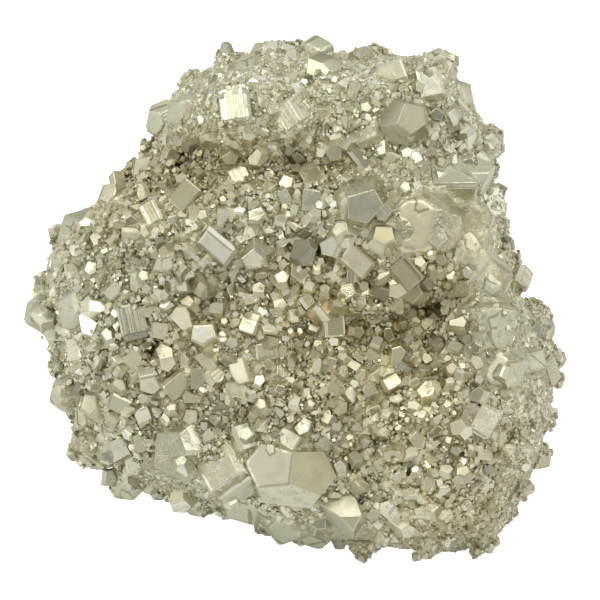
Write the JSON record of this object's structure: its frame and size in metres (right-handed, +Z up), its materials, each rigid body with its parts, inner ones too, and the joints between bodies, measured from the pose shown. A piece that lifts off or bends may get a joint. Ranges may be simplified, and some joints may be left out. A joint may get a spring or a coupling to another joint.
{
  "type": "raw pyrite cluster",
  "caption": "Raw pyrite specimen: a lumpy cluster of intergrown pyritohedral and cubic crystals on massive pyrite with a broken back, resting on a small flat spot.",
  "frame": {"origin": "middle of the small flat spot that the cluster rests on", "axes": "+Z up from the flat spot, -Y towards the crystal face, which leans back, +X to the right of that face and along the longest extent"},
  "size_m": [0.0888, 0.0716, 0.0791],
  "materials": {
    "pyrite": "metallic pale brass, satin to mirror-bright flat facets, some finely striated or frosted, darker olive-brown in the crevices"
  },
  "bodies": {
    "root": {"pyrite_cluster": "pyrite"}
  },
  "joints": []
}
